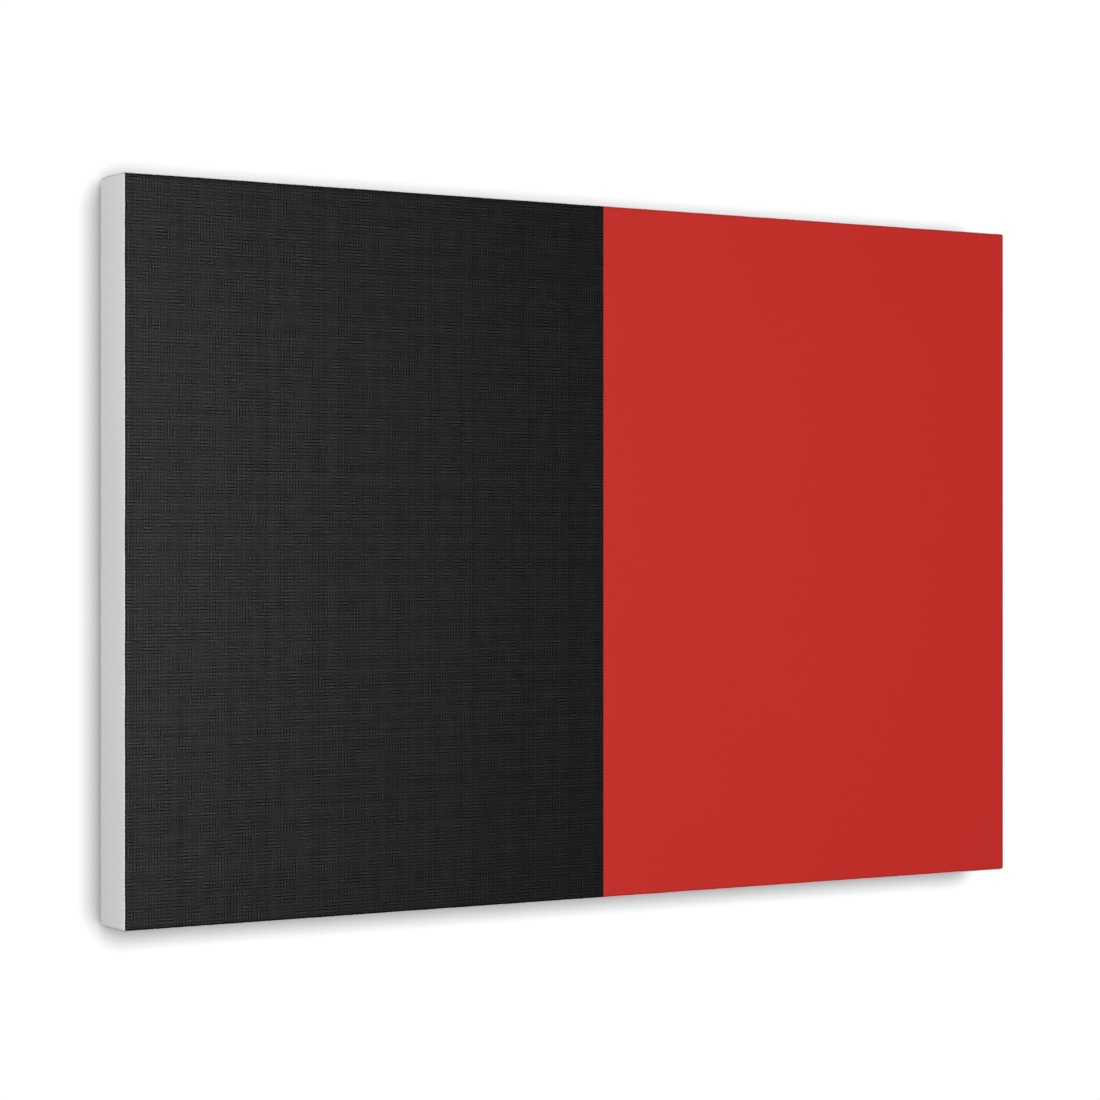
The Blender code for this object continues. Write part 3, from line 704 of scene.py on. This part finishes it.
def beech_material(name, across):
    """Beech of the keys: even, pinkish, with short dark flecks along the grain."""
    graph = Graph(name)
    axes = grain_axes(graph, across)
    band = grain(graph, axes, 12.0, 260.0, 3)
    fibre = grain(graph, axes, 45.0, 2200.0, 2)
    fleck = graph.scaled(grain(graph, axes, 420.0, 2600.0, 1), 0.64, 0.74)
    colour = graph.mix(graph.scaled(band, 0.35, 0.65), (0.62, 0.40, 0.235), (0.74, 0.52, 0.335))
    colour = graph.mix(graph.scaled(fibre, 0.35, 0.7, 0.0, 0.35), colour, (0.80, 0.61, 0.42))
    colour = graph.mix(graph.mul(fleck, 0.7), colour, (0.36, 0.19, 0.095))
    graph.set(Base_Color=colour, Specular_IOR_Level=0.4)
    graph.set(Roughness=graph.scaled(fibre, 0.3, 0.7, 0.42, 0.6))
    graph.set(Normal=graph.bump(graph.add(fibre, graph.mul(fleck, -0.6)), 0.06 * MM, 0.5))
    return graph.material


def paint(prefix, material):
    for name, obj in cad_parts.items():
        if name.startswith(prefix):
            for slot in obj.material_slots:
                slot.material = material


def ease_edges(prefix, width):
    """Break the sawn edges of the wood by a hair."""
    for name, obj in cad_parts.items():
        if name.startswith(prefix):
            weld = obj.modifiers.new("weld", "WELD")
            weld.merge_threshold = 0.01 * MM
            bevel = obj.modifiers.new("edges", "BEVEL")
            bevel.width = width
            bevel.segments = 2
            bevel.limit_method = "ANGLE"
            bevel.angle_limit = math.radians(30)


def finish_wood():
    inset = 19.5 * MM  # the canvas's edge to the middle of a bar
    top, bottom, side = HEIGHT - inset, inset, HALF - inset
    bars = {
        "top": (True, (-0.050, top - 0.012), [(0.118, top + 0.006, 4.2 * MM)]),
        "bottom": (True, (0.047, bottom + 0.030), [(-0.205, bottom - 0.004, 3.0 * MM)]),
        "left": (False, (-0.038, -side + 0.022), [(0.252, -side - 0.005, 3.4 * MM)]),
        "right": (False, (0.055, side - 0.018), [(0.141, side + 0.007, 5.0 * MM)]),
    }
    for seed, (side_name, (across, pith, knots)) in enumerate(bars.items()):
        material = pine_material(f"pine_{side_name}", across, pith, knots, seed * 4.7)
        paint(f"stretcher_{side_name}", material)
    keys = {True: beech_material("beech_across", True), False: beech_material("beech_upright", False)}
    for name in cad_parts:
        if name.startswith("key_"):
            paint(name, keys[name.endswith("across")])


# ================= metal and rubber =================


def metal_material(name, bright, dull, roughness, stain, scratch_way):
    """Plated metal: clouded plating, fine scratches one way and a little tarnish in scattered specks."""
    graph = Graph(name)
    place = graph.place()
    cloud = graph.noise(place, 240.0, 4, 0.6)
    scratch = graph.noise(graph.stretch(place, scratch_way), 1.0, 2, 0.6)
    speck = graph.scaled(graph.noise(place, 1500.0, 2), 0.62, 0.72)
    colour = graph.mix(graph.scaled(cloud, 0.35, 0.65), bright, dull)
    colour = graph.mix(graph.mul(speck, 0.5), colour, stain)
    graph.set(Base_Color=colour, Metallic=1.0)
    rough = graph.add(graph.mul(cloud, 0.22), graph.mul(graph.scaled(scratch, 0.35, 0.7), 0.14))
    graph.set(Roughness=graph.add(rough, graph.add(graph.mul(speck, 0.2), roughness - 0.15)))
    height = graph.add(graph.mul(scratch, 0.7), graph.mul(cloud, 0.3))
    graph.set(Normal=graph.bump(height, 0.03 * MM, 0.35))
    return graph.material


def rubber_material():
    graph = Graph("bumper_rubber_skin")
    place = graph.place()
    dust = graph.scaled(graph.noise(place, 420.0, 4, 0.65), 0.45, 0.75)
    grain = graph.noise(place, 3200.0, 2)
    graph.set(Base_Color=graph.mix(graph.mul(dust, 0.35), (0.028, 0.028, 0.030), (0.16, 0.155, 0.15)))
    graph.set(Roughness=graph.scaled(dust, 0, 1, 0.48, 0.8), Specular_IOR_Level=0.4)
    graph.set(Normal=graph.bump(grain, 0.03 * MM, 0.4))
    return graph.material


RING_RADIUS = 8 * MM
RING_RISE = 9 * MM  # the hinge to the middle of the bow
RING_CORNER = 1.6 * MM
RING_WIRE = (RING_HIGH.y - RING_LOW.y) / 2
HINGE_Y = (RING_HIGH.y + RING_LOW.y) / 2
HINGE_Z = RING_LOW.z + RING_WIRE
HANGER_X = -(RING_HIGH.x + RING_LOW.x) / 2


def arc(centre, radius, start, end, steps):
    angles = [math.radians(start + (end - start) * i / steps) for i in range(steps + 1)]
    return [(centre[0] + radius * math.cos(a), centre[1] + radius * math.sin(a)) for a in angles]


def make_rings(material):
    """D-shaped rings: a straight hinge bar, two tight corners and a round bow."""
    corner_x = RING_RADIUS - RING_CORNER
    bar = [(corner_x * (i / 4 - 1), 0) for i in range(1, 8)]
    path = [
        *bar,
        *arc((corner_x, RING_CORNER), RING_CORNER, -90, 0, 8),
        *arc((0, RING_RISE), RING_RADIUS, 0, 180, 48),
        *arc((-corner_x, RING_CORNER), RING_CORNER, 180, 270, 8),
    ]
    for side, way in (("left", -1), ("right", 1)):
        points = [(way * HANGER_X + x, HINGE_Y, HINGE_Z + z) for x, z in path]
        vertices, faces = sweep(points, circle(RING_WIRE, 16), closed=True)
        ring = object_from(f"ring_{side}", vertices, faces, [material])
        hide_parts(f"d_ring_{side}")
        dress(ring, f"d_ring_{side}")


SHEET = 0.9 * MM
STRAP_HALF_WIDTH = 5.5 * MM
STRAP_LENGTH = 18.5 * MM
BARREL = 1.85 * MM  # the hinge to the middle of the rolled sheet
SCREW_DROP = 11.5 * MM
SCREW_HEAD = 3.2 * MM
SCREW_HEAD_HEIGHT = 2.2 * MM
SCREW_RIM = 0.6 * MM  # height of the head where its crown begins
SCREW_LENGTH = 12 * MM
SCREW_POINT = 3 * MM
SCREW_CORE = 1.0 * MM
SCREW_THREAD = 0.45 * MM
SCREW_PITCH = 1.3 * MM


def make_strap(side, way, material):
    """A pressed strap: a strip doubled over the ring, with round tails and eased edges."""
    tail = [d * d * STRAP_HALF_WIDTH for d in (0.0, 0.12, 0.25, 0.4, 0.55, 0.7, 0.85, 1.0)]
    rise = [tail[-1] + (STRAP_LENGTH - tail[-1]) * i / 8 for i in range(1, 8)]
    front_y, front_z = -BARREL + SHEET, -4.6 * MM  # from here down, the two layers lie together
    path = [(-BARREL, distance - STRAP_LENGTH) for distance in tail + rise]
    path += arc((0, 0), BARREL, 180, -30, 36)
    bend_y, bend_z = path[-1]
    for i in range(1, 9):
        share = i / 8
        path.append((bend_y + (front_y - bend_y) * ease(share, 0, 1), bend_z + (front_z - bend_z) * share))
    drop = [front_z + (-STRAP_LENGTH + tail[-1] - front_z) * i / 6 for i in range(1, 6)]
    path += [(front_y, z) for z in drop]
    path += [(front_y, distance - STRAP_LENGTH) for distance in reversed(tail)]
    thick, edge = SHEET / 2, 0.15 * MM
    vertices = []
    for i, (y, z) in enumerate(path):
        before, after = path[max(i - 1, 0)], path[min(i + 1, len(path) - 1)]
        ty, tz = after[0] - before[0], after[1] - before[1]
        length = math.hypot(ty, tz)
        ny, nz = -tz / length, ty / length
        distance = min(z + STRAP_LENGTH, STRAP_HALF_WIDTH)
        wide = math.sqrt(STRAP_HALF_WIDTH**2 - (STRAP_HALF_WIDTH - distance) ** 2)
        wide = max(wide, 0.5 * MM)
        corner = [(wide - edge, thick), (wide, thick - edge), (wide, edge - thick), (wide - edge, -thick)]
        for u, v in corner + [(-u, v) for u, v in reversed(corner)]:
            vertices.append((way * HANGER_X + u, HINGE_Y + y + ny * v, HINGE_Z + z + nz * v))
    faces = tube_faces(len(path), len(vertices) // len(path))
    strap = object_from(f"strap_{side}", vertices, faces, [material])
    strap.data.set_sharp_from_angle(angle=math.radians(40))
    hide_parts(f"hanger_strap_{side}")
    dress(strap)


def turned(name, rows, origin, materials, segments=48):
    """A solid turned about +Y. Each row gives (radius, height) for an angle, or is a plain pair."""
    vertices = []
    for row in rows:
        for k in range(segments):
            angle = 2 * math.pi * k / segments
            radius, height = row(angle) if callable(row) else row
            spoke = (radius * math.cos(angle), height, radius * math.sin(angle))
            vertices.append(Vector(origin) + Vector(spoke))
    obj = object_from(name, vertices, tube_faces(len(rows), segments), materials)
    obj.data.set_sharp_from_angle(angle=math.radians(38))
    return obj


def make_screw(side, way, material):
    """A pan-head wood screw with a cross recess, its thread down in the bar."""
    arm, slot, depth = 1.85 * MM, 0.36 * MM, 1.25 * MM

    def head(radius):
        crown = (1 - (radius / SCREW_HEAD) ** 2.6) ** 0.62

        def row(angle):
            height = SCREW_RIM + (SCREW_HEAD_HEIGHT - SCREW_RIM) * crown
            u, v = abs(radius * math.cos(angle)), abs(radius * math.sin(angle))
            gap = min(max(u - arm, v - slot), max(v - arm, u - slot))
            return radius, height - depth * ease(-gap, -0.05 * MM, 0.12 * MM)

        return row

    def shank(height):
        taper = min((SCREW_LENGTH + height) / SCREW_POINT, 1.0)

        def row(angle):
            turn = (height / SCREW_PITCH + angle / (2 * math.pi)) % 1.0
            return (SCREW_CORE + SCREW_THREAD * abs(2 * turn - 1)) * taper + 0.02 * MM, height

        return row

    rows = [head(SCREW_HEAD * max(i, 0.15) / 44) for i in range(45)]
    rows += [(SCREW_HEAD, 0.3 * MM), (SCREW_HEAD, -0.15 * MM)]
    rows += [(SCREW_HEAD - 0.1 * MM, -0.25 * MM), (1.5 * MM, -0.25 * MM)]
    rows += [shank(-0.3 * MM - i * 0.26 * MM) for i in range(45)]
    seat = (way * HANGER_X, HINGE_Y - 0.2 * MM, HINGE_Z - SCREW_DROP)
    screw = turned(f"screw_{side}", rows, seat, [material], 96)
    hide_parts(f"hanger_screw_{side}")
    dress(screw)


def make_bumper(side, material):
    """A moulded dome with a moulding dimple in its top and a thin flange round its foot."""
    low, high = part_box(f"bumper_{side}")
    middle = (low + high) / 2
    reach, tall = (high.x - low.x) / 2, high.y - low.y
    flange = 0.7 * MM
    dome = [
        (reach * 0.5 + (reach * 0.94 - reach * 0.5) * c, flange + (tall - flange) * s)
        for c, s in arc((0, 0), 1, 90, 8, 14)
    ]
    rows = [(0.1 * MM, tall - 0.35 * MM), (0.8 * MM, tall - 0.3 * MM), (1.2 * MM, tall - 0.08 * MM)]
    rows += [(1.6 * MM, tall), *dome, (reach * 0.97, flange * 0.9), (reach, flange * 0.6)]
    rows += [(reach, 0.05 * MM), (reach * 0.9, 0.0), (0.1 * MM, 0.0)]
    bumper = turned(f"wall_bumper_{side}", rows, (middle.x, low.y, middle.z), [material])
    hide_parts(f"bumper_{side}")
    dress(bumper)


WIRE = 0.6 * MM
WIRE_RISE = 20 * MM  # arch of the slack span
WIRE_PULL = math.radians(8)  # slope of the span where it leaves a ring
EYE_LENGTH = 8 * MM
TAIL_TURNS = 6
TAIL_PITCH = 1.5 * MM
LOOP_RADIUS = RING_WIRE + WIRE + 0.15 * MM
TAIL_RADIUS = 2 * WIRE + 0.15 * MM
STRANDS = 6
STRAND_LAY = 7 * MM  # length in which the strands go once round


def wire_end():
    """Half of the wire as (x, y, z) about the hinge, from mid-span to the tail's cut end."""
    start_x = HANGER_X - RING_RADIUS * math.cos(WIRE_PULL)
    start_z = RING_RISE + RING_RADIUS * math.sin(WIRE_PULL)

    def height(x):
        return start_z + WIRE_RISE * (1 - (abs(x) / start_x) ** 2)

    rise = (height(start_x - EYE_LENGTH) - height(start_x)) / EYE_LENGTH
    pull = Vector((-1, 0, rise)).normalized()
    outward = Vector((0, 1, 0))
    sideways = pull.cross(outward)
    centre = Vector((start_x, 0, height(start_x)))

    def main_line(distance):
        x = start_x + pull.x * distance
        return Vector((x, 0, height(x)))

    points = []
    tail_length = EYE_LENGTH + TAIL_TURNS * TAIL_PITCH
    span_steps, eye_steps, turn_steps = 60, 14, 20
    reach = start_x / -pull.x
    for i in range(span_steps):
        share = i / span_steps
        points.append(main_line(reach * (1 - share) + tail_length * share))
    for i in range(eye_steps):
        points.append(main_line(tail_length + (EYE_LENGTH - tail_length) * i / eye_steps))
    for i in range(eye_steps):
        share = i / eye_steps
        lift = outward * LOOP_RADIUS * ease(share, 0.0, 1.0)
        points.append(main_line(EYE_LENGTH * (1 - share)) + lift)
    for y, along in arc((0, 0), LOOP_RADIUS, 0, -180, 16):
        points.append(centre + outward * y + pull * along)
    for i in range(1, eye_steps):
        share = i / eye_steps
        drop = LOOP_RADIUS + (TAIL_RADIUS - LOOP_RADIUS) * ease(share, 0.0, 1.0)
        points.append(main_line(EYE_LENGTH * share) - outward * drop)
    for i in range(TAIL_TURNS * turn_steps + 1):
        angle = 2 * math.pi * i / turn_steps
        offset = sideways * math.sin(angle) - outward * math.cos(angle)
        points.append(main_line(EYE_LENGTH + TAIL_PITCH * i / turn_steps) + offset * TAIL_RADIUS)
    return points


def respaced(points, spacing):
    """The same path with its points about so far apart."""
    steps = [(b - a).length for a, b in zip(points, points[1:])]
    marks = np.concatenate([[0], np.cumsum(steps)])
    wanted = np.linspace(0, marks[-1], round(marks[-1] / spacing) + 1)
    rows = np.array(points)
    return np.stack([np.interp(wanted, marks, rows[:, k]) for k in range(3)], 1)


def strand_section():
    """Six round strands laid round a seventh, as one outline."""
    strand = WIRE / 3
    offset = 2 * strand
    section = []
    for k in range(STRANDS):
        for lean in (-30, -19, -7, 7, 19):
            lean = math.radians(lean)
            reach = offset * math.cos(lean)
            reach += math.sqrt(max(strand**2 - (offset * math.sin(lean)) ** 2, 0))
            angle = 2 * math.pi * k / STRANDS + lean
            section.append((reach * math.cos(angle), reach * math.sin(angle)))
    return section


def make_wire():
    """Braided picture wire, looped through both rings, each tail wound back round the span."""
    right = wire_end()
    left = [Vector((-p.x, p.y, p.z)) for p in reversed(right[1:])]
    hinge = Vector((0, HINGE_Y, HINGE_Z))
    spacing = 0.55 * MM
    path = respaced([point + hinge for point in [*left, *right]], spacing)
    twist = 2 * math.pi * spacing / STRAND_LAY
    vertices, faces = sweep(path, strand_section(), twist=twist)
    way = (900, 900, 900)
    zinc = metal_material("zinc_strand", (0.66, 0.66, 0.65), (0.5, 0.5, 0.49), 0.38, (0.3, 0.29, 0.27), way)
    wire = object_from("picture_wire", vertices, faces, [zinc])
    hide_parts("hanging_wire")
    dress(wire, "hanging_wire")


def finish_hardware():
    nickel = metal_material(
        "nickel_skin", (0.80, 0.775, 0.73), (0.68, 0.655, 0.61), 0.24, (0.38, 0.34, 0.27), (350, 350, 3000)
    )
    steel = metal_material(
        "staple_skin", (0.88, 0.88, 0.87), (0.74, 0.74, 0.73), 0.24, (0.36, 0.31, 0.26), (500, 4000, 500)
    )
    rubber = rubber_material()
    make_rings(nickel)
    make_wire()
    for side, way in (("left", -1), ("right", 1)):
        make_strap(side, way, nickel)
        make_screw(side, way, nickel)
        make_bumper(side, rubber)
    paint("staple_", steel)


finish_wood()
ease_edges("stretcher_", 0.5 * MM)
ease_edges("key_", 0.35 * MM)
ease_edges("staple_", 0.12 * MM)
finish_hardware()
make_canvas()
make_fringe()

# ================= wall, floor, light and camera =================

WALL_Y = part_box("bumper_left")[1].y + 0.6 * MM
FLOOR_Z = -0.45
WHITE = 1.04  # a little over full tone, so that plain wall and floor clip to white
# The wall's painted shadow, drawn from how near the object is rather than from the lamps.
WALL_PAINTED_SHADOW = 22 * MM, (-0.2, -1, 0.25), (0.554, 0.9), 0.4  # reach, lean, open share, darkest tone
# The floor's painted shade: grey near the object, darker still under it, fading to white far away.
FLOOR_PAINTED_SHADE = 1.2, (0, 0, 1), (0.6, 1.5), 0.5
AMBIENT = 0.3
BACKDROP = 1.05  # the world as the camera sees it
FLAG_WAY = (0.77, -0.64, 0)  # a dark flag stands here and takes the sheen off the red half
FLAG_SPAN = 0.35, 0.95  # cosines from the flag's way at its outer edge and where it is darkest
FLAG_LEFT = 0.1  # share of the ambient light that the flag leaves

LENS = 100  # mm, on a sensor of 36 mm
SENSOR = 36
CAMERA_PLACE = (-2.396 * HEIGHT, FRONT - 3.7075 * HEIGHT, HEIGHT / 2 + 1 * MM)
CAMERA_TURN = -math.radians(31.87)


def plane(name, corners, material):
    obj = object_from(name, corners, [(0, 1, 2, 3)], [material], smooth=False)
    obj.visible_shadow = False


def painted_shadow_material(name, reach, lean, share, darkest, fade):
    """A glowing white that only the camera sees, with a painted shadow: darker where the object stands
    close to it.

    The shadow reaches so far, and a lean towards a direction deepens it on the opposite side.
    The open share of the view maps from the darkest tone to plain white. Fade takes the graph
    and gives how much of the shadow shows. The paint shows only from in front of the wall or
    above the floor, so that it never hides the object.
    """
    graph = Graph(name)
    tree = graph.tree
    tree.nodes.remove(graph.shader)
    values = {"Distance": reach, "Normal": graph.vector(*Vector(lean).normalized())}
    # Painted shadow: the glow dims where the object hides the view, within the reach.
    near = graph.node("ShaderNodeAmbientOcclusion", values, samples=24).outputs["AO"]
    tone = graph.scaled(near, *share, darkest, WHITE)
    tone = graph.add(graph.mul(graph.add(tone, -WHITE), fade(graph)), WHITE)
    glow = graph.node("ShaderNodeEmission", {"Color": (1, 1, 1), "Strength": tone})
    clear = graph.node("ShaderNodeBsdfTransparent")
    back = graph.node("ShaderNodeNewGeometry").outputs["Backfacing"]
    shown = graph.node("ShaderNodeLightPath").outputs["Is Camera Ray"]
    shown = graph.mul(shown, graph.math("SUBTRACT", 1.0, back))
    mixed = graph.node("ShaderNodeMixShader", {0: shown})
    tree.links.new(clear.outputs[0], mixed.inputs[1])
    tree.links.new(glow.outputs[0], mixed.inputs[2])
    tree.links.new(mixed.outputs[0], tree.nodes["Material Output"].inputs["Surface"])
    return graph.material


def unless_edge_on(graph):
    """The wall's painted shadow goes as the wall is seen from its edge."""
    facing = graph.node("ShaderNodeLayerWeight", {"Blend": 0.5}).outputs["Facing"]
    return graph.scaled(facing, 0.72, 0.9, 1.0, 0.0)


def near_the_object(graph):
    """The floor's painted shade and shadow fade to white far from the object."""
    x, y, _ = graph.parts(graph.place())
    values = {0: graph.distance(x, y), 1: 0.2, 2: 1.5, 3: 1.0, 4: 0.0}
    return graph.node("ShaderNodeMapRange", values, interpolation_type="SMOOTHSTEP").outputs[0]


def area_light(name, place, target, size, power, size_y=None):
    data = bpy.data.lights.new(name, "AREA")
    data.shape = "RECTANGLE"
    data.size, data.size_y = size, size_y or size
    data.energy = power
    light = bpy.data.objects.new(name, data)
    bpy.context.scene.collection.objects.link(light)
    light.location = place
    light.rotation_euler = (Vector(target) - Vector(place)).to_track_quat("-Z", "Y").to_euler()


def make_stage():
    """A glowing wall just behind the object and a glowing floor under it, each with a painted shadow.
    Neither casts nor blocks any light.
    """
    wide, tall, far = 1.3, 1.1, 4.0
    low = FLOOR_Z
    wall = [(-wide, WALL_Y, low), (wide, WALL_Y, low), (wide, WALL_Y, tall), (-wide, WALL_Y, tall)]
    plane("wall", wall, painted_shadow_material("wall_painted_shadow", *WALL_PAINTED_SHADOW, unless_edge_on))
    floor = [(-far, -far, low), (far, -far, low), (far, far, low), (-far, far, low)]
    plane("floor", floor, painted_shadow_material("floor_painted_shade", *FLOOR_PAINTED_SHADE, near_the_object))


def make_world():
    """White to the camera, and soft ambient light with a dark flag in it to everything else."""
    world = bpy.data.worlds.new("studio")
    bpy.context.scene.world = world
    world.use_nodes = True
    tree = world.node_tree
    shade = tree.nodes["Background"]
    shade.inputs["Color"].default_value = (1, 1, 1, 1)
    path = tree.nodes.new("ShaderNodeLightPath")
    strength = tree.nodes.new("ShaderNodeMapRange")
    tree.links.new(path.outputs["Is Camera Ray"], strength.inputs["Value"])
    strength.inputs["To Max"].default_value = BACKDROP
    flag = tree.nodes.new("ShaderNodeVectorMath")
    flag.operation = "DOT_PRODUCT"
    flag.inputs[1].default_value = FLAG_WAY
    tree.links.new(tree.nodes.new("ShaderNodeTexCoord").outputs["Generated"], flag.inputs[0])
    dim = tree.nodes.new("ShaderNodeMapRange")
    for socket, value in zip(dim.inputs[1:], (*FLAG_SPAN, AMBIENT, AMBIENT * FLAG_LEFT)):
        socket.default_value = value
    tree.links.new(flag.outputs["Value"], dim.inputs["Value"])
    tree.links.new(dim.outputs["Result"], strength.inputs["To Min"])
    tree.links.new(strength.outputs["Result"], shade.inputs["Strength"])


def make_lights():
    centre = (0, 0, HEIGHT / 2)
    area_light("key", (0.0, FRONT - 1.5, HEIGHT / 2 + 0.03), (0.05, 0, HEIGHT / 2), 0.7, 23.5, 1.1)
    area_light("left_fill", (-2.4, -0.25, 0.5), centre, 1.2, 20.2)
    area_light("right_fill", (2.2, 0.5, 0.7), centre, 1.0, 16)
    area_light("back_key", (1.6, 0.75, 1.5), centre, 0.7, 19)
    area_light("back_fill", (-1.2, 2.0, 0.5), centre, 1.5, 5)


def make_camera():
    data = bpy.data.cameras.new("camera")
    data.lens = LENS
    data.sensor_width = SENSOR
    data.clip_start = 0.05
    camera = bpy.data.objects.new("camera", data)
    bpy.context.scene.collection.objects.link(camera)
    camera.location = CAMERA_PLACE
    camera.rotation_euler = (math.pi / 2, 0, CAMERA_TURN)
    bpy.context.scene.camera = camera
    bpy.context.scene.view_settings.view_transform = "Standard"


make_stage()
make_world()
make_lights()
make_camera()
